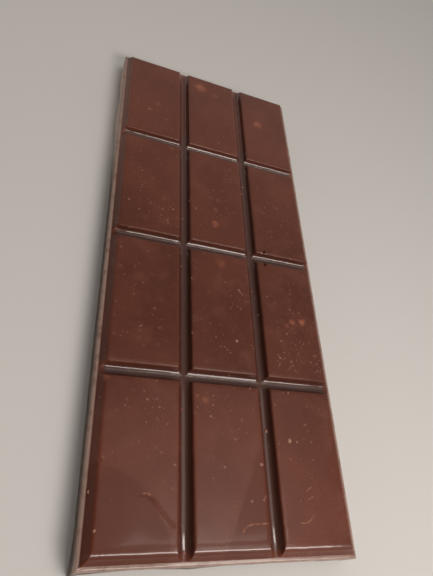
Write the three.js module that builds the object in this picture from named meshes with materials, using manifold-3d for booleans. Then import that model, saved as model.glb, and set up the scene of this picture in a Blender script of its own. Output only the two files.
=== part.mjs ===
// A moulded chocolate bar of plain rectangular blocks, lying flat with its blocks up.
// Millimetres, +Z up, the bar's length along Y. The origin is the middle of the underside.
import * as THREE from "three";
import { mergeVertices } from "three/addons/utils/BufferGeometryUtils.js";
import Module from "manifold-3d";

const wasm = await Module();
wasm.setup();

// Blocks and the grooves between them.
const COLUMNS = 3;
const ROWS = 4;
const BLOCK_WIDTH = 17.5;
const BLOCK_LENGTH = 36.2;
const GROOVE_WIDTH = 3.75;
const GROOVE_DEPTH = 2.15;
const EDGE_RADIUS = 0.5; // softens a block's top along a groove
const BORDER_EDGE_RADIUS = 1.1; // softens the blocks' top all round the bar

// Heights, from the underside.
const BAR_HEIGHT = 8;
const RIM_HEIGHT = 5.85;

// The border: a slope down from the blocks, then a narrow rim that rounds over into the wall.
const SLOPE_RUN = 1.5;
const SLOPE_FILLET = 0.45; // the hollow between the slope and the rim
const RIM_WIDTH = 0.95;
const RIM_RADIUS = 0.7;

// The poured side, which is the lower edge of the wall.
const WALL_DRAFT = 0.1; // how far the wall leans out on its way down
const FOOT_RADIUS = 0.3; // rounding of the wall's lower edge
const CORNER_RADIUS = 1.2;
const POURED_CORNER_RADIUS = 2.2; // the near left corner, where the pour fell short
// Places where the poured edge bulges out of the mould or falls short of it.
const POUR_SWELLS = [
  { side: "left", centre: 72, reach: 7, out: 0.25 },
  { side: "left", centre: 49, reach: 9, out: -0.8 },
  { side: "left", centre: 30, reach: 6, out: 0.2 },
  { side: "left", centre: -35, reach: 14, out: 0.1 },
  { side: "near", centre: -33, reach: 11, out: -0.55 },
  { side: "near", centre: -8, reach: 5, out: 0.3 },
  { side: "near", centre: 32, reach: 12, out: -0.3 },
  { side: "far", centre: -12, reach: 9, out: 0.2 },
];

// How finely curves and the wall are divided.
const ARC_STEPS = 6; // segments in a quarter turn of a groove's floor
const EDGE_STEPS = 3; // segments in a softened edge
const BORDER_STEPS = 5; // segments in the softened edge round the bar
const WALL_POINT_SPACING = 3;
const CORNER_SHARPNESS = 12; // keeps a side's swell from reaching round its corner
const FOOT_OUTSET = 0.05; // keeps the two slabs' walls from lying on each other

const columnPitch = BLOCK_WIDTH + GROOVE_WIDTH;
const rowPitch = BLOCK_LENGTH + GROOVE_WIDTH;
const fieldWidth = COLUMNS * columnPitch - GROOVE_WIDTH;
const fieldLength = ROWS * rowPitch - GROOVE_WIDTH;
const rimWidthOverall = fieldWidth + 2 * (SLOPE_RUN + RIM_WIDTH);
const rimLengthOverall = fieldLength + 2 * (SLOPE_RUN + RIM_WIDTH);
const slopeAngle = Math.atan2(BAR_HEIGHT - RIM_HEIGHT, SLOPE_RUN);
// From the blocks' edge to where the hollow at the slope's foot meets the rim.
const borderRun = SLOPE_RUN + SLOPE_FILLET * Math.tan(slopeAngle / 2);
// The groove's floor is a half circle under two softened shoulders.
const grooveRadius = GROOVE_WIDTH / 2 - EDGE_RADIUS / 2;

// Turns a closed geometry into a solid, with its shared corners merged.
function toSolid(geometry) {
  geometry.deleteAttribute("normal");
  geometry.deleteAttribute("uv");
  const merged = mergeVertices(geometry, 1e-4);
  const vertProperties = merged.getAttribute("position").array;
  const triVerts = new Uint32Array(merged.index.array);
  return new wasm.Manifold(new wasm.Mesh({ numProp: 3, vertProperties, triVerts }));
}

// Turns a solid back into a geometry with flat faces.
function toGeometry(solid) {
  const mesh = solid.getMesh();
  const geometry = new THREE.BufferGeometry();
  geometry.setAttribute("position", new THREE.BufferAttribute(mesh.vertProperties, 3));
  geometry.setIndex(new THREE.BufferAttribute(mesh.triVerts, 1));
  const faceted = geometry.toNonIndexed();
  faceted.computeVertexNormals();
  return faceted;
}

// Draws one groove across a profile, from the block on its left to the block on its right.
function drawGroove(shape, centre) {
  const shoulder = grooveRadius + EDGE_RADIUS;
  const shoulderHeight = BAR_HEIGHT - EDGE_RADIUS;
  const floorCentre = BAR_HEIGHT - GROOVE_DEPTH + grooveRadius;
  shape.lineTo(centre - shoulder, BAR_HEIGHT);
  addArc(shape, centre - shoulder, shoulderHeight, EDGE_RADIUS, Math.PI / 2, 0, EDGE_STEPS);
  addArc(shape, centre, floorCentre, grooveRadius, Math.PI, 2 * Math.PI, 2 * ARC_STEPS);
  addArc(shape, centre + shoulder, shoulderHeight, EDGE_RADIUS, Math.PI, Math.PI / 2, EDGE_STEPS);
}

// Adds an arc as a run of short straight lines.
function addArc(shape, centreX, centreY, radius, from, to, steps) {
  for (let i = 0; i <= steps; i++) {
    const angle = from + ((to - from) * i) / steps;
    shape.lineTo(centreX + radius * Math.cos(angle), centreY + radius * Math.sin(angle));
  }
}

// The profile across a run of blocks: sloping ends, softened edges, a groove at each joint.
function blockProfile(count, pitch, fieldSize) {
  const top = fieldSize / 2;
  const foot = top + borderRun;
  const buried = RIM_HEIGHT - 1;
  const radius = BORDER_EDGE_RADIUS;
  const inset = radius * Math.tan(slopeAngle / 2);
  const edgeHeight = BAR_HEIGHT - radius;
  const filletHeight = RIM_HEIGHT + SLOPE_FILLET;
  const slopeNormal = Math.PI / 2 - slopeAngle;
  const shape = new THREE.Shape();
  shape.moveTo(-foot, buried);
  addArc(shape, -foot, filletHeight, SLOPE_FILLET, -Math.PI / 2, -slopeNormal, EDGE_STEPS);
  addArc(shape, -top + inset, edgeHeight, radius, Math.PI - slopeNormal, Math.PI / 2, BORDER_STEPS);
  for (let i = 1; i < count; i++) drawGroove(shape, (i - count / 2) * pitch);
  addArc(shape, top - inset, edgeHeight, radius, Math.PI / 2, slopeNormal, BORDER_STEPS);
  addArc(shape, foot, filletHeight, SLOPE_FILLET, Math.PI + slopeNormal, 1.5 * Math.PI, EDGE_STEPS);
  shape.lineTo(foot, buried);
  return shape;
}

// The raised blocks: the profile across the bar met by the profile along it.
function blockField() {
  const acrossDepth = fieldLength + 2 * borderRun;
  const across = new THREE.ExtrudeGeometry(blockProfile(COLUMNS, columnPitch, fieldWidth), {
    depth: acrossDepth,
    bevelEnabled: false,
  });
  across.rotateX(Math.PI / 2).translate(0, acrossDepth / 2, 0);
  const alongDepth = fieldWidth + 2 * borderRun;
  const along = new THREE.ExtrudeGeometry(blockProfile(ROWS, rowPitch, fieldLength), {
    depth: alongDepth,
    bevelEnabled: false,
  });
  along.rotateX(Math.PI / 2).rotateZ(Math.PI / 2).translate(-alongDepth / 2, 0, 0);
  return toSolid(across).intersect(toSolid(along));
}

// How far the poured edge stands out of the mould's own line at one place on a side.
function pourOut(side, along) {
  let out = 0;
  for (const swell of POUR_SWELLS) {
    if (swell.side === side) out += swell.out * Math.exp(-(((along - swell.centre) / swell.reach) ** 2));
  }
  return out;
}

// Adds one straight side of the slab's outline, with points close enough to follow the pour.
function addSide(shape, fromX, fromY, toX, toY) {
  const steps = Math.ceil(Math.hypot(toX - fromX, toY - fromY) / WALL_POINT_SPACING);
  for (let i = 0; i < steps; i++) {
    shape.lineTo(fromX + ((toX - fromX) * i) / steps, fromY + ((toY - fromY) * i) / steps);
  }
}

// The slab's outline at the rim, drawn in by the rounding that its bevel puts back.
function slabOutline(inset) {
  const x = rimWidthOverall / 2 - inset;
  const y = rimLengthOverall / 2 - inset;
  const nearLeft = POURED_CORNER_RADIUS - inset;
  const r = CORNER_RADIUS - inset;
  const quarter = Math.PI / 2;
  const shape = new THREE.Shape();
  shape.moveTo(-x + nearLeft, -y);
  addSide(shape, -x + nearLeft, -y, x - r, -y);
  addArc(shape, x - r, -y + r, r, -quarter, 0, EDGE_STEPS);
  addSide(shape, x, -y + r, x, y - r);
  addArc(shape, x - r, y - r, r, 0, quarter, EDGE_STEPS);
  addSide(shape, x - r, y, -x + r, y);
  addArc(shape, -x + r, y - r, r, quarter, 2 * quarter, EDGE_STEPS);
  addSide(shape, -x, y - r, -x, -y + nearLeft);
  addArc(shape, -x + nearLeft, -y + nearLeft, nearLeft, 2 * quarter, 3 * quarter, EDGE_STEPS);
  return shape;
}

// A slab with softened edges, whose wall leans out a little and swells where the pour did.
function softSlab(bottom, top, edge, outset) {
  const geometry = new THREE.ExtrudeGeometry(slabOutline(edge - outset), {
    depth: top - bottom - 2 * edge,
    bevelThickness: edge,
    bevelSize: edge,
    bevelSegments: EDGE_STEPS,
  });
  geometry.translate(0, 0, bottom + edge);
  const position = geometry.getAttribute("position");
  for (let i = 0; i < position.count; i++) {
    const x = position.getX(i);
    const y = position.getY(i);
    const depthShare = 1 - position.getZ(i) / RIM_HEIGHT;
    const sideShare = Math.abs(x / (rimWidthOverall / 2)) ** CORNER_SHARPNESS;
    const endShare = Math.abs(y / (rimLengthOverall / 2)) ** CORNER_SHARPNESS;
    const outX = WALL_DRAFT + pourOut(x < 0 ? "left" : "right", y);
    const outY = WALL_DRAFT + pourOut(y < 0 ? "near" : "far", x);
    position.setX(i, x + Math.sign(x) * outX * sideShare * depthShare);
    position.setY(i, y + Math.sign(y) * outY * endShare * depthShare);
  }
  return toSolid(geometry);
}

// The slab under the blocks: rounded over at the rim, and a little softened at its foot.
function slab() {
  const rounded = softSlab(-BAR_HEIGHT, RIM_HEIGHT, RIM_RADIUS, 0);
  const footed = softSlab(0, 2 * BAR_HEIGHT, FOOT_RADIUS, FOOT_OUTSET);
  return rounded.intersect(footed);
}

const chocolate = new THREE.MeshStandardMaterial({ color: 0x5b3529, roughness: 0.42, metalness: 0 });
const bar = new THREE.Mesh(toGeometry(slab().add(blockField())), chocolate);
bar.name = "chocolate_bar";

const group = new THREE.Group();
group.add(bar);

export default group;
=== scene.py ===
import math
import random

import bmesh
import bpy
from mathutils import Matrix, Vector, noise


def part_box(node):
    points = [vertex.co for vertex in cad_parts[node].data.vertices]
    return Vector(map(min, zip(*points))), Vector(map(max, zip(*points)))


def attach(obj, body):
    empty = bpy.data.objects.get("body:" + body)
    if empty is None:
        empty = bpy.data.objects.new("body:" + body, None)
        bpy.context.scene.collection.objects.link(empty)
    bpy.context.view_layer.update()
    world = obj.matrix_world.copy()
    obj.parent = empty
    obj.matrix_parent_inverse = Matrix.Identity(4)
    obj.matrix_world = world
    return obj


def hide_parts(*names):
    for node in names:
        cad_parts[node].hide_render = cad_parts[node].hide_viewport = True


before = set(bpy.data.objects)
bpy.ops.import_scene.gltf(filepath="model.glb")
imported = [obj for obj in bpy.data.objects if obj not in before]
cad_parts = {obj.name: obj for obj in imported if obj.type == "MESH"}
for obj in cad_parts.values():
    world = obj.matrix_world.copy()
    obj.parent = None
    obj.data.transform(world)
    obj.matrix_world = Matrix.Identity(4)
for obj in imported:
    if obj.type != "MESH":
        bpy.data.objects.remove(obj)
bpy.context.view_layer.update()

MM = 0.001
NOISE_SEED = 5  # makes the noise the same in every run
noise.seed_set(NOISE_SEED)

# ---------------------------------------------------------------- camera

IMAGE_HEIGHT = 576  # pixels along the image's longer side, which the sensor's size goes with
FOCAL_PIXELS = 460.03
SENSOR = 36.0
CLIP_START = 0.005
CAMERA_PLACE = Vector((-44.94, -79.08, 110.58)) * MM
CAMERA_AIM = Vector((0.3364, 0.5062, -0.7941))
CAMERA_RIGHT = Vector((0.9287, -0.0385, 0.3689))


def make_camera():
    """A hand-held camera close above the near left corner, rolled a little."""
    data = bpy.data.cameras.new("camera")
    data.sensor_width = SENSOR
    data.lens = FOCAL_PIXELS / IMAGE_HEIGHT * SENSOR
    data.clip_start = CLIP_START
    camera = bpy.data.objects.new("camera", data)
    bpy.context.scene.collection.objects.link(camera)
    back = -CAMERA_AIM.normalized()
    right = (CAMERA_RIGHT - back * CAMERA_RIGHT.dot(back)).normalized()
    up = back.cross(right)
    turn = Matrix((right, up, back)).transposed().to_4x4()
    camera.matrix_world = Matrix.Translation(CAMERA_PLACE) @ turn
    bpy.context.scene.camera = camera


make_camera()

# ---------------------------------------------------------------- the bar's sizes

BAR_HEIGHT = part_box("chocolate_bar")[1].z
COLUMNS = 3
ROWS = 4
BLOCK_WIDTH = 17.5 * MM
BLOCK_LENGTH = 36.2 * MM
GROOVE_WIDTH = 3.75 * MM
GROOVE_DEPTH = 2.15 * MM
FLOOR_LIFT = 0.06 * MM  # how far the flat floor of a groove lies above its round bottom
EDGE_RADIUS = 0.5 * MM  # softens a block's top along a groove
RIM_HEIGHT = BAR_HEIGHT - GROOVE_DEPTH
BORDER_EDGE_RADIUS = 1.1 * MM  # softens the blocks' top all round the bar
NEAR_EDGE_RADIUS = 2.6 * MM  # the same along the near side, which is rounder
SLOPE_RUN = 1.5 * MM
SLOPE_FILLET = 0.45 * MM  # the hollow between the slope and the rim
RIM_WIDTH = 0.95 * MM
RIM_RADIUS = 0.7 * MM
WALL_DRAFT = 0.1 * MM  # how far the wall leans out on its way down
FOOT_RADIUS = 0.3 * MM  # rounding of the wall's lower edge
CORNER_RADIUS = 1.2 * MM
POURED_CORNER_RADIUS = 2.2 * MM  # the near left corner, where the pour fell short

COLUMN_PITCH = BLOCK_WIDTH + GROOVE_WIDTH
ROW_PITCH = BLOCK_LENGTH + GROOVE_WIDTH
FIELD_WIDTH = COLUMNS * COLUMN_PITCH - GROOVE_WIDTH
FIELD_LENGTH = ROWS * ROW_PITCH - GROOVE_WIDTH
GROOVE_RADIUS = GROOVE_WIDTH / 2 - EDGE_RADIUS / 2
# The outline that the rim's rounding starts from.
HALF_WIDTH = FIELD_WIDTH / 2 + SLOPE_RUN + RIM_WIDTH
HALF_LENGTH = FIELD_LENGTH / 2 + SLOPE_RUN + RIM_WIDTH

# Where the poured edge bulges out of the mould's line or falls short of it, in millimetres:
# the side, its middle along that side, how far it reaches, how far it stands out.
POUR_SWELLS = (
    ("left", 72, 7, 0.25),
    ("left", 49, 9, -0.8),
    ("left", 30, 6, 0.2),
    ("left", -35, 14, 0.1),
    ("left", -80, 7, -0.4),
    ("near", -33, 11, -0.55),
    ("near", -8, 5, 0.3),
    ("near", 32, 12, -0.3),
    ("far", -12, 9, 0.2),
)
CORNER_SHARPNESS = 12  # keeps a side's swell from reaching round its corner
RUN_OUT = 0.07 * MM  # how far the runs of the poured wall stand out or in
RUN_LENGTH = 4.5 * MM
RUN_UPRIGHT = 0.4  # below 1, so that a run is taller than it is long

# The side that set in the open mould: a flat border, and shallow hollows inside it.
BACK_BORDER = 0.8 * MM
BACK_STEP = 1.5 * MM
BACK_HOLLOW = 0.16 * MM
BACK_HOLLOW_LENGTH = 11 * MM
BACK_RIPPLE = 0.3  # of the hollows' depth
BACK_RIPPLE_LENGTH = BACK_HOLLOW_LENGTH / 4
BACK_RISE = 3  # steps in from the border over which the hollows deepen

# How finely the surface is divided.
FACE_STEP = 0.62 * MM
JOIN_DISTANCE = 0.002 * MM  # points of the moulded face closer than this are one point
SAME_HEIGHT = 0.0001 * MM  # heights closer than this are taken as equal
SLOPE_STEPS = 3
EDGE_STEPS = 3
BORDER_STEPS = 8
FILLET_STEPS = 4
FLOOR_STEPS = 14
ROUND_STEPS = 6
WALL_STEPS = 5


# ---------------------------------------------------------------- shape of the moulded face


def arc(centre, height, radius, start, end, steps):
    """Points on an arc, as (place along the profile, height)."""
    turns = (start + (end - start) * i / steps for i in range(steps + 1))
    return [(centre + radius * math.cos(t), height + radius * math.sin(t)) for t in turns]


def straight(start, end, steps):
    """Points between two places on a profile, without the two ends."""
    a, b = Vector(start), Vector(end)
    return [tuple(a.lerp(b, i / steps)) for i in range(1, steps)]


def groove_points(centre):
    """One round-bottomed groove with softened shoulders and a narrow flat floor."""
    shoulder = GROOVE_RADIUS + EDGE_RADIUS
    lip = BAR_HEIGHT - EDGE_RADIUS
    floor = BAR_HEIGHT - GROOVE_DEPTH + GROOVE_RADIUS
    hollow = arc(centre, floor, GROOVE_RADIUS, math.pi, 2 * math.pi, FLOOR_STEPS)
    return (
        arc(centre - shoulder, lip, EDGE_RADIUS, math.pi / 2, 0, EDGE_STEPS)
        + [(place, max(height, floor - GROOVE_RADIUS + FLOOR_LIFT)) for place, height in hollow]
        + arc(centre + shoulder, lip, EDGE_RADIUS, math.pi, math.pi / 2, EDGE_STEPS)
    )


def slope_points(top, radius):
    """The border on the low side: rim, a small fillet, the slope and the block's soft edge."""
    foot = top + SLOPE_RUN
    slope = math.atan2(BAR_HEIGHT - RIM_HEIGHT, SLOPE_RUN)
    normal = math.pi / 2 - slope
    reach = SLOPE_FILLET * math.tan(slope / 2)
    hollow = RIM_HEIGHT + SLOPE_FILLET
    fillet = arc(-foot - reach, hollow, SLOPE_FILLET, -math.pi / 2, -normal, FILLET_STEPS)
    inset = radius * math.tan(slope / 2)
    edge = arc(-top + inset, BAR_HEIGHT - radius, radius, math.pi - normal, math.pi / 2, BORDER_STEPS)
    rim = [(-foot - RIM_WIDTH + RIM_RADIUS, RIM_HEIGHT)]
    return rim + fillet + straight(fillet[-1], edge[0], SLOPE_STEPS) + edge


def profile_points(count, pitch, field, first_radius):
    """The height of the moulded face along one direction, from rim to rim."""
    points = slope_points(field / 2, first_radius)
    for i in range(1, count):
        groove = groove_points((i - count / 2) * pitch)
        points += flat_between(points[-1], groove[0]) + groove
    right = [(-x, z) for x, z in reversed(slope_points(field / 2, BORDER_EDGE_RADIUS))]
    return points + flat_between(points[-1], right[0]) + right


def flat_between(start, end):
    """Points across the flat top of a block."""
    return straight(start, end, max(2, round((end[0] - start[0]) / FACE_STEP)))


ACROSS = profile_points(COLUMNS, COLUMN_PITCH, FIELD_WIDTH, BORDER_EDGE_RADIUS)
ALONG = profile_points(ROWS, ROW_PITCH, FIELD_LENGTH, NEAR_EDGE_RADIUS)


def profile_height(points, place):
    """The height of a profile at one place along it."""
    for (start, low_end), (end, high_end) in zip(points, points[1:]):
        if start <= place <= end and end > start:
            return low_end + (high_end - low_end) * (place - start) / (end - start)
    return RIM_HEIGHT


def face_height(x, y):
    """The height of the moulded face at one place."""
    return min(profile_height(ACROSS, x), profile_height(ALONG, y))


# ---------------------------------------------------------------- marks in the moulded face

# Small holes where a bubble or a crumb broke out: x, y, radius and depth in millimetres.
PITS = (
    (15.1, 2.4, 0.55, 1.2),
    (14.9, -2.2, 0.7, 1.1),
    (-29.6, -60.3, 0.5, 0.12),
    (20.5, -65.6, 0.35, 0.1),
    (6.9, -6.8, 0.4, 0.12),
    (22.6, 36.0, 0.35, 0.12),
)

# Ridges and scratches, in millimetres: half width, height (below zero for a scratch), points.
FOLD = ((-20.9, -67.4), (-19.6, -67.6), (-18.2, -68.2), (-16.8, -69.7), (-15.6, -71.2), (-13.2, -73.4))
BESIDE_FOLD = ((-18.9, -67.4), (-17.8, -67.8), (-16.3, -69.4), (-15.1, -70.9), (-13.0, -72.9))
RIDGES = (
    (0.16, 0.07, FOLD),
    (0.17, -0.07, BESIDE_FOLD),
    (0.3, -0.05, ((-24.4, -18.0), (-22.6, -14.2), (-20.8, -10.6), (-21.6, -8.6))),
    (0.25, -0.04, ((-26.6, -16.5), (-25.4, -19.2), (-24.8, -21.0))),
)
RIDGE_TAIL = 3.0  # half widths from a ridge's middle to where it has died out
PIT_RAGGED = 0.25  # how uneven a pit's outline is
PIT_GRAIN = 2.5  # bumps in that outline, per millimetre
RIDGE_UNEVEN = 0.5  # how much a ridge's height varies along it
RIDGE_GRAIN = 0.9

# The face is divided finely out to this many radii or half widths from a mark, and a bit more.
PIT_REACH = 1.6
RIDGE_REACH = 2.0
EXTRA_REACH = 0.3  # millimetres
MARK_CUTS = 4

# The moulded face isn't dead flat: shallow waves, and edges that wander a little.
WAVE_LENGTH = 9 * MM
WAVE_HEIGHT = 0.035 * MM
RIPPLE_LENGTH = 3 * MM
RIPPLE_SHARE = 0.4  # a ripple's height beside a wave's
WANDER_LENGTH = 3.2 * MM
WANDER = 0.05 * MM


def distance_to_line(x, y, points):
    """How far a place is from a run of straight pieces, in the same unit."""
    place = Vector((x, y))
    nearest = math.inf
    for start, end in zip(points, points[1:]):
        a, b = Vector(start), Vector(end)
        share = max(0, min(1, (place - a).dot(b - a) / (b - a).length_squared))
        nearest = min(nearest, (place - a.lerp(b, share)).length)
    return nearest


def near_mark(x, y):
    """Whether a place, in millimetres, is close enough to a mark to need fine faces."""
    for pit_x, pit_y, radius, _ in PITS:
        if math.hypot(x - pit_x, y - pit_y) < PIT_REACH * radius + EXTRA_REACH:
            return True
    for half_width, _, points in RIDGES:
        if distance_to_line(x, y, points) < RIDGE_REACH * half_width + EXTRA_REACH:
            return True
    return False


def mark_height(x, y):
    """How far the marks raise or sink the face at one place, all in millimetres."""
    raised = 0
    for pit_x, pit_y, radius, depth in PITS:
        away = math.hypot(x - pit_x, y - pit_y) / radius
        ragged = 1 + PIT_RAGGED * noise.noise(Vector((x, y, depth)) * PIT_GRAIN)
        raised -= depth * max(0, 1 - (away * ragged) ** 2)
    uneven = 1 + RIDGE_UNEVEN * noise.noise(Vector((x, y, 0)) * RIDGE_GRAIN)
    for half_width, height, points in RIDGES:
        away = distance_to_line(x, y, points) / half_width
        if away < RIDGE_TAIL:
            raised += height * math.exp(-away * away) * uneven
    return raised


def settle(co):
    """Gives a point of the moulded face its shallow waves and slightly wandering edges."""
    wave = noise.noise(co / WAVE_LENGTH) + RIPPLE_SHARE * noise.noise(co / RIPPLE_LENGTH)
    shift = noise.noise_vector(co / WANDER_LENGTH) * WANDER
    return co + Vector((shift.x, shift.y, wave * WAVE_HEIGHT))


# ---------------------------------------------------------------- the poured side


def pour_out(side, along):
    """How far the poured edge stands out at one place on a side."""
    return MM * sum(
        out * math.exp(-(((along / MM - centre) / reach) ** 2))
        for name, centre, reach, out in POUR_SWELLS
        if name == side
    )


def follow_pour(co):
    """Moves a point of the wall out to where the pour ran."""
    depth = 1 - co.z / RIM_HEIGHT
    side = abs(co.x / HALF_WIDTH) ** CORNER_SHARPNESS
    end = abs(co.y / HALF_LENGTH) ** CORNER_SHARPNESS
    run = RUN_OUT * noise.noise(Vector((co.x, co.y, co.z * RUN_UPRIGHT)) / RUN_LENGTH)
    out_x = WALL_DRAFT + run + pour_out("left" if co.x < 0 else "right", co.y)
    out_y = WALL_DRAFT + run + pour_out("near" if co.y < 0 else "far", co.x)
    return Vector((
        co.x + math.copysign(out_x, co.x) * side * depth,
        co.y + math.copysign(out_y, co.y) * end * depth,
        co.z,
    ))


def corner_radius(co):
    """The rounding of the corner that a point is nearest, where the rim's rounding starts."""
    poured = co.x < 0 and co.y < 0
    return (POURED_CORNER_RADIUS if poured else CORNER_RADIUS) - RIM_RADIUS


def past_corner(co):
    """How far a point lies past the centre of its corner's rounding, each way."""
    inset = RIM_RADIUS + corner_radius(co)
    return Vector((abs(co.x) - (HALF_WIDTH - inset), abs(co.y) - (HALF_LENGTH - inset)))


def round_corner(co):
    """Draws a point near a corner in to the corner's round outline."""
    past = past_corner(co)
    if min(past) <= 0:
        return co
    drawn = past * (max(past) / past.length)
    return Vector((
        co.x + math.copysign(drawn.x - past.x, co.x),
        co.y + math.copysign(drawn.y - past.y, co.y),
        co.z,
    ))


def outward(co):
    """The level direction that leads straight out of the bar at its outline."""
    past = past_corner(co)
    out_x = math.copysign(max(0, past.x), co.x)
    out_y = math.copysign(max(0, past.y), co.y)
    return Vector((out_x, out_y, 0)).normalized()


# ---------------------------------------------------------------- making the bar


def moulded_face(mesh):
    """The blocks, grooves, sloping border and rim, as a grid laid on both profiles."""
    columns, rows = len(ACROSS) - 1, len(ALONG) - 1
    bmesh.ops.create_grid(mesh, x_segments=columns, y_segments=rows, size=0.5)
    for vert in mesh.verts:
        x, across_height = ACROSS[round((vert.co.x + 0.5) * columns)]
        y, along_height = ALONG[round((vert.co.y + 0.5) * rows)]
        vert.co = round_corner(Vector((x, y, min(across_height, along_height))))
    bmesh.ops.remove_doubles(mesh, verts=mesh.verts, dist=JOIN_DISTANCE)


def split_mitres(mesh):
    """Splits the quads that a mitre crosses along the mitre, which is their longer diagonal."""
    bent = []
    for face in (f for f in mesh.faces if len(f.verts) == 4):
        lowest, low, high, highest = sorted(vert.co.z for vert in face.verts)
        three_alike = min(high - lowest, highest - low) < SAME_HEIGHT
        if three_alike and highest - lowest > JOIN_DISTANCE / 2:
            bent.append(face)
    bmesh.ops.triangulate(mesh, faces=bent, quad_method="LONG_EDGE")


def press_marks(mesh):
    """Divides the face finely at each mark and raises or sinks it there."""
    quads = [face for face in mesh.faces if len(face.verts) == 4]
    fine = [face for face in quads if near_mark(*(face.calc_center_median().xy / MM))]
    edges = dict.fromkeys(edge for face in fine for edge in face.edges if not edge.is_boundary)
    bmesh.ops.subdivide_edges(mesh, edges=list(edges), cuts=MARK_CUTS, use_grid_fill=True)
    for vert in mesh.verts:
        x, y = vert.co.xy / MM
        if near_mark(x, y):
            vert.co.z += mark_height(x, y) * MM
    for vert in mesh.verts:
        vert.co = settle(vert.co)


def wall_levels():
    """Each ring of the wall, from the rim down: how far out of the rim's start, and its height."""
    quarter = math.pi / 2
    rounding = [quarter * i / ROUND_STEPS for i in range(1, ROUND_STEPS + 1)]
    upper = [
        (RIM_RADIUS * math.sin(t), RIM_HEIGHT - RIM_RADIUS * (1 - math.cos(t)))
        for t in rounding
    ]
    softening = [quarter * i / EDGE_STEPS for i in range(1, EDGE_STEPS + 1)]
    lower = [
        (RIM_RADIUS - FOOT_RADIUS * (1 - math.cos(t)), FOOT_RADIUS * (1 - math.sin(t)))
        for t in softening
    ]
    drop = (upper[-1][1] - FOOT_RADIUS) / WALL_STEPS
    wall = [(RIM_RADIUS, upper[-1][1] - drop * i) for i in range(1, WALL_STEPS + 1)]
    return upper + wall + lower


def poured_wall(mesh):
    """The wall below the rim. Gives back the edges of its lower end."""
    ring = [edge for edge in mesh.edges if edge.is_boundary]
    home = {}
    for vert in {v for edge in ring for v in edge.verts}:
        home[vert] = (vert.co.copy(), outward(vert.co))
    for out, height in wall_levels():
        made = bmesh.ops.extrude_edge_only(mesh, edges=ring)["geom"]
        ring = [g for g in made if isinstance(g, bmesh.types.BMEdge) and g.is_boundary]
        fresh = {v for edge in ring for v in edge.verts}
        below = {}
        for vert in fresh:
            above = next(e.other_vert(vert) for e in vert.link_edges if e.other_vert(vert) in home)
            place, away = home[above]
            vert.co = follow_pour(Vector((place.x, place.y, height)) + away * out)
            below[vert] = (place, away)
        home = below
    return ring


def poured_back(mesh, ring):
    """The side that set in the open mould: flat at its border, with shallow hollows inside."""
    half_x = HALF_WIDTH - BACK_BORDER
    half_y = HALF_LENGTH - BACK_BORDER
    columns, rows = round(2 * half_x / BACK_STEP), round(2 * half_y / BACK_STEP)
    made = bmesh.ops.create_grid(mesh, x_segments=columns, y_segments=rows, size=0.5)["verts"]
    for vert in made:
        x, y = vert.co.x * 2 * half_x, vert.co.y * 2 * half_y
        inside = min(half_x - abs(x), half_y - abs(y)) / BACK_STEP
        hollow = 0.5 + 0.5 * noise.noise(Vector((x, y, 0)) / BACK_HOLLOW_LENGTH)
        hollow += BACK_RIPPLE * noise.noise(Vector((x, y, 0)) / BACK_RIPPLE_LENGTH)
        vert.co = (x, y, BACK_HOLLOW * max(0, hollow) * min(1, inside / BACK_RISE))
    border = list(dict.fromkeys(e for v in made for e in v.link_edges if e.is_boundary))
    bmesh.ops.triangle_fill(mesh, use_beauty=True, edges=ring + border)


def finish_piece(mesh, name, material):
    """Turns a bmesh into an object that rides on the bar's body."""
    bmesh.ops.recalc_face_normals(mesh, faces=mesh.faces)
    for face in mesh.faces:
        face.smooth = True
    data = bpy.data.meshes.new(name)
    mesh.to_mesh(data)
    mesh.free()
    data.materials.append(material)
    piece = bpy.data.objects.new(name, data)
    bpy.context.scene.collection.objects.link(piece)
    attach(piece, "root")
    return piece


def make_bar(material):
    """The whole bar: the moulded face, the wall below it and the poured side."""
    mesh = bmesh.new()
    moulded_face(mesh)
    split_mitres(mesh)
    press_marks(mesh)
    poured_back(mesh, poured_wall(mesh))
    piece = finish_piece(mesh, "moulded_bar", material)
    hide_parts("chocolate_bar")


# ---------------------------------------------------------------- crumbs and specks

# Patches of fine specks on the blocks, in millimetres: middle x and y, spread each way, count.
SPECK_PATCHES = (
    (-23, 20, 5, 9, 26),
    (-17, 9, 5, 5, 18),
    (0, 16, 7, 9, 14),
    (22, 20, 6, 12, 12),
    (-20, 58, 7, 10, 10),
    (18, 62, 7, 10, 8),
    (2, 60, 7, 12, 7),
    (4, -14, 4, 6, 20),
    (0, -28, 7, 9, 16),
    (-22, -24, 6, 12, 16),
    (21, -27, 4, 5, 14),
    (18, -34, 3, 2.5, 16),
    (28, -34, 1.4, 3, 16),
    (-20, -50, 8, 9, 22),
    (0, -52, 7, 9, 24),
    (20, -55, 6, 12, 16),
    (0, 0, 26, 70, 90),
)
SPECK_SPREAD = 0.6  # of a patch's spread, as the draw's standard deviation
SPECK_SIZE = (0.2, 0.42)  # radius, in millimetres
SPECK_SHRINK = (0.6, 1)  # a second draw that makes small specks the more common
SPECK_SEED = 12

# Bigger loose crumbs, in millimetres: x, y, radius.
CRUMBS = (
    (11.2, -52.0, 0.6),
    (8.0, -60.4, 0.5),
    (16.4, -54.6, 0.55),
    (-1.4, -61.2, 0.3),
    (18.5, -54.8, 0.25),
    (17.6, -42.3, 0.33),
    (-31.1, -66.4, 0.36),
    (-29.6, -73.6, 0.34),
    (7.9, -68.1, 0.28),
    (4.9, -68.3, 0.28),
    (-14.4, 11.3, 0.34),
    (-24.3, 24.0, 0.32),
    (-23.2, 52.9, 0.34),
    (5.5, -13.1, 0.3),
    (16.4, -32.6, 0.32),
    (14.4, -13.7, 0.28),
    (3.8, -29.2, 0.34),
    (-13.3, -61.0, 0.26),
    (-4.4, -49.8, 0.3),
    (9.8, 26.2, 0.34),
    (10.7, 29.5, 0.34),
)
CRUMB_SEED = 31
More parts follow.
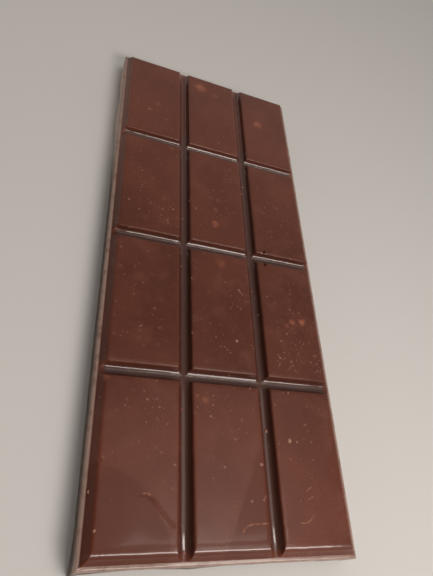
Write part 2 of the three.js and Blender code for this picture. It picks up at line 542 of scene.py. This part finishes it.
# A crumb's length and height beside its radius, and how uneven its outline is.
CRUMB_STRETCH = (0.7, 1.3)
CRUMB_HEIGHT = (0.15, 0.35)
CRUMB_UNEVEN = 0.3
CRUMB_GRAIN = 1.3  # bumps to a radius

# Thin shavings that stuck to the near blocks, in millimetres: half width, points.
SHAVINGS = (
    (0.22, ((3.2, -73.2), (5.0, -72.9), (6.6, -72.9), (8.5, -72.8))),
    (0.16, ((2.2, -73.9), (3.4, -73.4))),
    (0.36, ((2.0, -74.4), (2.7, -74.0))),
    (0.24, ((19.3, -66.2), (20.9, -65.2))),
    (0.2, ((19.4, -68.0), (20.3, -67.7), (21.2, -67.2))),
    (0.2, ((16.8, -72.9), (18.4, -72.9), (19.7, -72.3), (20.6, -71.2))),
    (0.2, ((7.9, -68.0), (8.6, -67.1))),
    (0.2, ((-20.4, -66.8), (-19.3, -66.8), (-18.5, -67.1))),
)
SHAVING_OVERLAP = 0.6  # a piece's half length beside the distance that it covers
SHAVING_HEIGHT = 0.25  # beside its half width
SHAVING_UNEVEN = 0.4  # beside its half width
SHAVING_GRAIN = 0.5 * MM


def add_shaving(mesh, start, end, half_width):
    """One flattened piece of a shaving, laid on the face from one place to another."""
    (x, y), (end_x, end_y) = start, end
    turn = Matrix.Rotation(math.atan2(end_y - y, end_x - x), 4, "Z")
    half_length = SHAVING_OVERLAP * math.hypot(end_x - x, end_y - y) * MM
    half_width *= MM
    size = Matrix.Diagonal((half_length, half_width, SHAVING_HEIGHT * half_width, 1))
    middle = Vector(((x + end_x) / 2, (y + end_y) / 2, 0)) * MM
    middle.z = face_height(middle.x, middle.y)
    matrix = Matrix.Translation(middle) @ turn @ size
    made = bmesh.ops.create_icosphere(mesh, subdivisions=3, radius=1, matrix=matrix)
    for vert in made["verts"]:
        vert.co += noise.noise_vector(vert.co / SHAVING_GRAIN) * (SHAVING_UNEVEN * half_width)


def make_shavings(material):
    """The thin shavings, each a run of flattened pieces."""
    mesh = bmesh.new()
    for half_width, points in SHAVINGS:
        for start, end in zip(points, points[1:]):
            add_shaving(mesh, start, end, half_width)
    finish_piece(mesh, "chocolate_shavings", material)


def add_crumb(mesh, rng, x, y, radius):
    """One flattened, uneven crumb, half sunk in the face."""
    turn = Matrix.Rotation(rng.uniform(0, math.tau), 4, "Z")
    length = radius * rng.uniform(*CRUMB_STRETCH)
    height = radius * rng.uniform(*CRUMB_HEIGHT)
    size = Matrix.Diagonal((length, radius, height, 1))
    place = Matrix.Translation((x, y, face_height(x, y)))
    made = bmesh.ops.create_icosphere(mesh, subdivisions=2, radius=1, matrix=place @ turn @ size)
    for vert in made["verts"]:
        away = vert.co - place.translation
        vert.co += away * CRUMB_UNEVEN * noise.noise(vert.co / radius * CRUMB_GRAIN)


def make_specks(material):
    """Fine specks of cocoa and crumb dust that stuck to the blocks."""
    rng = random.Random(SPECK_SEED)
    mesh = bmesh.new()
    for middle_x, middle_y, spread_x, spread_y, count in SPECK_PATCHES:
        for _ in range(count):
            x = rng.gauss(middle_x, spread_x * SPECK_SPREAD) * MM
            y = rng.gauss(middle_y, spread_y * SPECK_SPREAD) * MM
            radius = rng.uniform(*SPECK_SIZE) * rng.uniform(*SPECK_SHRINK) * MM
            if abs(x) < FIELD_WIDTH / 2 and abs(y) < FIELD_LENGTH / 2:
                add_crumb(mesh, rng, x, y, radius)
    finish_piece(mesh, "cocoa_specks", material)


def make_crumbs(material):
    """The bigger crumbs, each where it lies."""
    rng = random.Random(CRUMB_SEED)
    mesh = bmesh.new()
    for x, y, radius in CRUMBS:
        add_crumb(mesh, rng, x * MM, y * MM, radius * MM)
    finish_piece(mesh, "loose_crumbs", material)


# ---------------------------------------------------------------- materials


class Shade:
    """A socket of a shader. Arithmetic on it adds the Math nodes that work it out."""

    def __init__(self, tree, socket=None):
        self.tree = tree
        self.socket = socket

    def node(self, kind, settings, inputs, output=0):
        """Adds a node: its settings first, then the values or links of its sockets."""
        made = self.tree.nodes.new(kind)
        for name, value in settings.items():
            setattr(made, name, value)
        for name, value in inputs.items():
            if isinstance(value, Shade):
                self.tree.links.new(value.socket, made.inputs[name])
            else:
                made.inputs[name].default_value = value
        return Shade(self.tree, made.outputs[output])

    def maths(self, operation, first, second=0.0):
        """Adds a Math node that works on two shades or numbers."""
        return self.node("ShaderNodeMath", {"operation": operation}, {0: first, 1: second})

    def __add__(self, other):
        return self.maths("ADD", self, other)

    def __sub__(self, other):
        return self.maths("SUBTRACT", self, other)

    def __rsub__(self, other):
        return self.maths("SUBTRACT", other, self)

    def __mul__(self, other):
        return self.maths("MULTIPLY", self, other)

    __radd__ = __add__
    __rmul__ = __mul__

    def __abs__(self):
        return self.maths("ABSOLUTE", self)

    def most(self, other):
        return self.maths("MAXIMUM", self, other)


class Finish:
    """A material and its Principled shader, with the object coordinates that patterns read."""

    def __init__(self, name, **constants):
        self.material = bpy.data.materials.new(name)
        self.material.use_nodes = True
        self.tree = self.material.node_tree
        self.shader = self.tree.nodes["Principled BSDF"]
        for socket, value in constants.items():
            self.shader.inputs[socket.replace("_", " ")].default_value = value
        self.place = Shade(self.tree).node("ShaderNodeTexCoord", {}, {}, "Object")

    def feed(self, socket, shade):
        """Links a shade that changes over the surface to one of the shader's sockets."""
        self.tree.links.new(shade.socket, self.shader.inputs[socket])

    def axis(self, name):
        """One of the object coordinates, X, Y or Z."""
        return self.place.node("ShaderNodeSeparateXYZ", {}, {"Vector": self.place}, name)


def rise(value, start, end):
    """0 where the value is at start, 1 where it is at end, with a soft change between them."""
    sockets = {"Value": value, "From Min": start, "From Max": end}
    return value.node("ShaderNodeMapRange", {"interpolation_type": "SMOOTHSTEP"}, sockets)


def cloud(place, size, detail=2.0, shift=0.0):
    """Soft random variation from about 0 to 1, with features of about this size."""
    sockets = {"Vector": place, "Scale": 1 / size, "Detail": detail, "W": shift}
    return place.node("ShaderNodeTexNoise", {"noise_dimensions": "4D"}, sockets, "Fac")


def tint(share, first, second):
    """A colour part of the way from the first colour to the second."""
    return share.node("ShaderNodeMix", {"data_type": "RGBA"}, {0: share, 6: first, 7: second}, 2)


def distance(place, x, y):
    """How far a point is from a place on the blocks' tops, given in millimetres."""
    sockets = {0: place, 1: (x * MM, y * MM, BAR_HEIGHT)}
    return place.node("ShaderNodeVectorMath", {"operation": "DISTANCE"}, sockets, "Value")


# The colours of the chocolate, as linear red, green, blue and alpha.
CHOCOLATE = (0.178, 0.05, 0.028, 1)
# The darker brown serves both random dark tone and the painted shade on the middle rows.
CHOCOLATE_DARK_AND_SHADED = (0.108, 0.0285, 0.0155, 1)
CHOCOLATE_PALE = (0.19, 0.064, 0.041, 1)
CHOCOLATE_SMOOTH = (0.122, 0.029, 0.0135, 1)
# Painted shade, laid into the grooves' depths and the pits' depths.
GROOVE_PAINTED_SHADE = (0.05, 0.015, 0.0095, 1)
FLECK = (0.3, 0.135, 0.095, 1)
BLOTCH = (0.4, 0.135, 0.075, 1)
RIM = (0.46, 0.325, 0.27, 1)
POURED = (0.11, 0.085, 0.068, 1)
# Painted light on the far part of the left wall.
POURED_PAINTED_LIGHT = (0.66, 0.54, 0.46, 1)

# The dark and the pale colour of each kind of crumb, and the size of its colour's grain.
DUST = ((0.17, 0.06, 0.038, 1), (0.3, 0.13, 0.09, 1), 1.2 * MM)
CRUMB = ((0.26, 0.11, 0.065, 1), (0.47, 0.26, 0.19, 1), 0.6 * MM)
SHAVING = ((0.19, 0.06, 0.033, 1), (0.35, 0.15, 0.095, 1), 0.8 * MM)

# Roughness of the blocks' tops, and what is added to it elsewhere or varies over them.
ROUGHNESS = 0.27
ROUGHNESS_OF_GROOVES = 0.1
ROUGHNESS_OF_MOTTLE = 0.1
ROUGHNESS_OF_GRAIN = 0.1
ROUGHNESS_OF_SMOOTH_PATCH = 0.07
ROUGHNESS_OF_BORDER = 0.2
ROUGHNESS_OF_WALL = 0.3

# Weight of the glossy coat that the mould left.
COAT = 0.05
COAT_OF_GROOVES = 0.75

# Heights of the bumps that are too fine to be modelled.
GRAIN_BUMP = 0.006 * MM
PEBBLE_BUMP = 0.004 * MM
WALL_BUMP = 0.1 * MM

# Warm brown blotches, in millimetres: x, y, radius, strength.
BLOTCHES = (
    (-4.5, 72.7, 3.1, 1.0),
    (1.5, 70.5, 1.8, 0.35),
    (18.3, 61.4, 2.3, 1.0),
    (-20.3, 56.5, 1.5, 0.45),
    (-22.8, 52.6, 1.0, 0.6),
    (-1.0, 9.1, 1.7, 1.0),
    (-0.5, 14.9, 1.1, 0.7),
    (21.8, -20.8, 1.4, 0.9),
    (25.2, -20.5, 1.6, 0.9),
    (20.0, -22.3, 0.9, 0.6),
    (0.3, -4.9, 2.4, 0.3),
    (-29.2, -62.6, 2.0, 0.35),
    (-30.2, -42.2, 1.3, 0.45),
    (-5.6, -45.9, 1.2, 0.5),
    (-15.1, 36.7, 1.0, 0.6),
)
BLOTCH_CORE = 0.25  # of a blotch's radius, where it is strongest

# The near end of the bar let go of its mould unevenly, and stayed smooth and dark in two places.
SMOOTH_PATCH = (-33.0, -80.0, 20.0)  # a round patch: x, y and radius in millimetres
SMOOTH_PATCH_EDGE = 1.2  # millimetres over which it fades
# A straight boundary across the middle block of the near row, in millimetres.
RELEASE_LINE = (Vector((8.7, -54.7)), Vector((-1.5, -77.7)))


def smooth_patches(place, x, y):
    """Where the near row stayed smooth: a round patch at its left, a slanting one in its middle."""
    wobble = (cloud(place, 6 * MM) - 0.5) * (3 * MM)
    middle_x, middle_y, radius = SMOOTH_PATCH
    away = distance(place, middle_x, middle_y) + wobble
    left_block = rise(x, -11 * MM, -12 * MM)
    left_part = rise(away, radius * MM, (radius - SMOOTH_PATCH_EDGE) * MM) * left_block

    far_end, near_end = RELEASE_LINE
    along = (far_end - near_end).normalized()
    past = (x - near_end.x * MM) * along.y - (y - near_end.y * MM) * along.x
    middle_block = rise(abs(x), 9.2 * MM, 8.6 * MM) * rise(y, -50 * MM, -62 * MM)
    middle_part = rise(past + wobble * 0.4, -0.3 * MM, 0.5 * MM) * middle_block
    return left_part.most(middle_part)


class Regions:
    """Masks that tell the parts of the bar's surface apart: 1 inside each, 0 outside it."""

    def __init__(self, finish):
        x, y, z = finish.axis("X"), finish.axis("Y"), finish.axis("Z")
        outside = (abs(x) - FIELD_WIDTH / 2).most(abs(y) - FIELD_LENGTH / 2)
        self.border = rise(outside, -0.2 * MM, 0.3 * MM)
        self.rim = rise(outside, SLOPE_RUN - 0.1 * MM, SLOPE_RUN + 0.3 * MM)
        self.wall = rise(z, RIM_HEIGHT - 0.4 * MM, RIM_HEIGHT - 1.4 * MM)
        below_edge = rise(z, BAR_HEIGHT - 0.7 * MM, BAR_HEIGHT - 1.2 * MM)
        self.slope = self.border * (1 - self.rim) * below_edge

        # A groove from just under its lip, and the shade painted into its depth and into the pits'
        # depths.
        field = 1 - self.border
        self.groove = rise(z, BAR_HEIGHT - 0.13 * MM, BAR_HEIGHT - 0.4 * MM) * field
        self.painted_groove_shade = rise(z, BAR_HEIGHT - 0.25 * MM, BAR_HEIGHT - 1.4 * MM) * field

        # The far row's grooves get less painted shade and less coat, and the near side is the
        # glossiest.
        self.far_row = rise(y, 43 * MM, 50 * MM)
        self.near_side = rise(y, -FIELD_LENGTH / 2 + 0.8 * MM, -FIELD_LENGTH / 2)
        # Painted shade: the third row from the far end is painted darkest, and the rows towards both
        # ends lighter.
        self.paler = rise(y, -25 * MM, 55 * MM).most(0.85 * rise(y, -32 * MM, -62 * MM))
        # Painted light on the slopes of the far half.
        self.slope_painted_light_far = self.slope * rise(y, 10 * MM, 60 * MM)
        # Painted light: only the left wall is painted lighter towards its far end.
        left_wall = rise(x, -29 * MM, -31 * MM) * rise(z, 0.2 * MM, 0.5 * MM)
        self.wall_painted_light = rise(y, 15 * MM, 45 * MM) * left_wall
        self.smooth = smooth_patches(finish.place, x, y)


def flecks(place):
    """Faint flecks just under the skin, thick in some places and missing in others."""
    cells = {"Vector": place, "Scale": 1 / (1.9 * MM)}
    near_fleck = place.node("ShaderNodeTexVoronoi", {}, cells, "Distance")
    fleck_lot = place.node("ShaderNodeTexVoronoi", {}, cells, "Color")
    lot = fleck_lot.node("ShaderNodeSeparateColor", {}, {"Color": fleck_lot})
    crowded = rise(cloud(place, 14 * MM, 1, 5.0), 0.42, 0.6)
    return rise(near_fleck, 0.26, 0.05) * rise(lot, 0.6, 0.75) * crowded


def blotches(place):
    """The warm brown blotches, with ragged edges."""
    spots = (
        rise(distance(place, x, y), radius * MM, BLOTCH_CORE * radius * MM) * strength
        for x, y, radius, strength in BLOTCHES
    )
    return sum(spots) * rise(cloud(place, 1.6 * MM, 3, 7.0), 0.25, 0.65)


def chocolate_colour(place, regions, mottle):
    """Brown with painted shade on the middle rows and in the grooves' depths, random variation within
    each row, painted light on the far slopes and the left wall's far part, greyer outside.
    """
    share = 0.1 + 0.7 * regions.paler + 0.4 * (rise(mottle, 0.35, 0.65) - 0.5)
    # Painted shade: the middle rows take more of the darker brown.
    colour = tint(share, CHOCOLATE_DARK_AND_SHADED, CHOCOLATE)
    colour = tint(rise(cloud(place, 5 * MM, 2, 6.0), 0.5, 0.75) * 0.45, colour, CHOCOLATE_PALE)
    colour = tint(rise(cloud(place, 1.6 * MM, 3, 2.0), 0.5, 0.85) * 0.5, colour, CHOCOLATE_PALE)
    colour = tint(flecks(place) * 0.7, colour, FLECK)
    colour = tint(blotches(place), colour, BLOTCH)
    colour = tint(regions.smooth * 0.75, colour, CHOCOLATE_SMOOTH)
    # Painted shade in the grooves' depths, less of it in the far row.
    colour = tint(regions.painted_groove_shade * (0.6 - 0.35 * regions.far_row), colour, GROOVE_PAINTED_SHADE)
    # Painted light on the slopes of the far half, in the rim's colour.
    colour = tint(regions.slope_painted_light_far * 0.15, colour, RIM)

    uneven = rise(cloud(place, 2.5 * MM, 3), 0.1, 0.55)
    colour = tint(regions.rim * uneven * 0.8, colour, RIM)
    # Painted light on the far part of the left wall.
    poured = tint(regions.wall_painted_light, POURED, POURED_PAINTED_LIGHT)
    return tint(regions.wall * uneven * 0.9, colour, poured)


def chocolate_finish():
    """Dark chocolate: glossy where the mould held it, dull and greyer where it was poured."""
    finish = Finish(
        "dark_chocolate",
        Specular_IOR_Level=0.26,
        Coat_Roughness=0.07,
        Coat_IOR=1.55,
    )
    place = finish.place
    regions = Regions(finish)
    mottle = cloud(place, 13 * MM, 3)
    fine = cloud(place, 0.5 * MM, 3, 3.0)
    finish.feed("Base Color", chocolate_colour(place, regions, mottle))

    # The mould left the grooves and the near border glossier than the blocks' tops.
    sharp = (regions.groove * (1 - 0.6 * regions.far_row)).most(regions.near_side)
    sharp = sharp * (1 - regions.slope)
    roughness = (
        ROUGHNESS
        + ROUGHNESS_OF_GROOVES * sharp
        + ROUGHNESS_OF_MOTTLE * (mottle - 0.5)
        + ROUGHNESS_OF_GRAIN * (fine - 0.5)
        + ROUGHNESS_OF_SMOOTH_PATCH * regions.smooth
        + ROUGHNESS_OF_BORDER * regions.border * (1 - regions.near_side)
        + ROUGHNESS_OF_WALL * regions.wall
    )
    finish.feed("Roughness", roughness)
    finish.feed("Coat Weight", (COAT + COAT_OF_GROOVES * sharp) * (1 - 0.9 * regions.wall))

    pebbles = fine * GRAIN_BUMP + cloud(place, 0.16 * MM, 2, 9.0) * PEBBLE_BUMP
    dull = cloud(place, 0.7 * MM, 4, 4.0) * regions.wall * WALL_BUMP
    height = pebbles * (1 - 0.8 * sharp) + dull
    bump = place.node("ShaderNodeBump", {}, {"Height": height, "Distance": 1.0, "Strength": 1.0})
    finish.feed("Normal", bump)
    return finish.material


def crumb_finish(name, dark, pale, size):
    """Dry, dull crumbs, some paler than others."""
    finish = Finish(name, Specular_IOR_Level=0.35)
    shade = rise(cloud(finish.place, size, 2), 0.3, 0.7)
    finish.feed("Base Color", tint(shade, dark, pale))
    finish.feed("Roughness", 0.5 + 0.2 * shade)
    return finish.material


def floor_finish():
    """A plain pale tabletop."""
    finish = Finish("pale_table", Specular_IOR_Level=0.2, Roughness=0.75)
    shade = cloud(finish.place, 0.2, 3)
    finish.feed("Base Color", tint(shade, FLOOR_COLOUR, FLOOR_COLOUR_PALE))
    return finish.material


# ---------------------------------------------------------------- studio

FLOOR_SIDE = 3.0
FLOOR_COLOUR = (0.76, 0.75, 0.73, 1)
FLOOR_COLOUR_PALE = (0.8, 0.79, 0.77, 1)
LIGHT_COLOUR = (1.0, 0.93, 0.87)
AMBIENT = 0.255
AMBIENT_FROM_RIGHT = 0.15
AMBIENT_FROM_BEYOND = 0.19

# Each lamp's name, place in metres, width, length and power in watts.
LAMPS = (
    ("overhead", (0.18, -0.03, 0.54), 0.35, 0.35, 0.27),
    ("overhead_lamp", (0.18, -0.06, 0.55), 0.2, 0.016, 0.16),
    ("behind", (0.24, -0.56, 0.44), 0.38, 0.12, 1.95),
    ("near_fill", (0.06, -0.13, 0.14), 0.06, 0.06, 0.06),
    ("left_fill", (-0.35, 0.35, 0.1), 0.4, 0.2, 0.16),
)


def make_floor():
    """The plain floor that the bar lies on, which isn't part of it."""
    mesh = bmesh.new()
    bmesh.ops.create_grid(mesh, x_segments=1, y_segments=1, size=FLOOR_SIDE / 2)
    data = bpy.data.meshes.new("floor")
    mesh.to_mesh(data)
    mesh.free()
    data.materials.append(floor_finish())
    floor = bpy.data.objects.new("floor", data)
    bpy.context.scene.collection.objects.link(floor)


def make_light(name, place, width, length, power):
    """A soft rectangular light that points at the bar, its width along the bar's width."""
    data = bpy.data.lights.new(name, "AREA")
    data.shape = "RECTANGLE"
    data.size = width
    data.size_y = length
    data.energy = power
    data.color = LIGHT_COLOUR
    lamp = bpy.data.objects.new(name, data)
    lamp.location = place
    back = Vector(place).normalized()
    across = (Vector((1, 0, 0)) - back * back.x).normalized()
    lamp.rotation_euler = Matrix((across, back.cross(across), back)).transposed().to_euler()
    bpy.context.scene.collection.objects.link(lamp)


def make_world():
    """Light from all round, more of it from the right and from beyond the bar."""
    world = bpy.data.worlds.new("studio")
    world.use_nodes = True
    start = Shade(world.node_tree)
    toward = start.node("ShaderNodeTexCoord", {}, {}, "Generated")
    across = start.node("ShaderNodeSeparateXYZ", {}, {"Vector": toward}, "X")
    along = start.node("ShaderNodeSeparateXYZ", {}, {"Vector": toward}, "Y")
    strength = AMBIENT + AMBIENT_FROM_RIGHT * across + AMBIENT_FROM_BEYOND * along
    background = world.node_tree.nodes["Background"]
    background.inputs["Color"].default_value = (*LIGHT_COLOUR, 1)
    world.node_tree.links.new(strength.socket, background.inputs["Strength"])
    bpy.context.scene.world = world


# ---------------------------------------------------------------- building the scene

make_bar(chocolate_finish())
make_specks(crumb_finish("cocoa_dust", *DUST))
make_crumbs(crumb_finish("crumbs", *CRUMB))
make_shavings(crumb_finish("shavings", *SHAVING))

make_floor()
make_world()
for lamp in LAMPS:
    make_light(*lamp)

bpy.context.scene.view_settings.view_transform = "Standard"
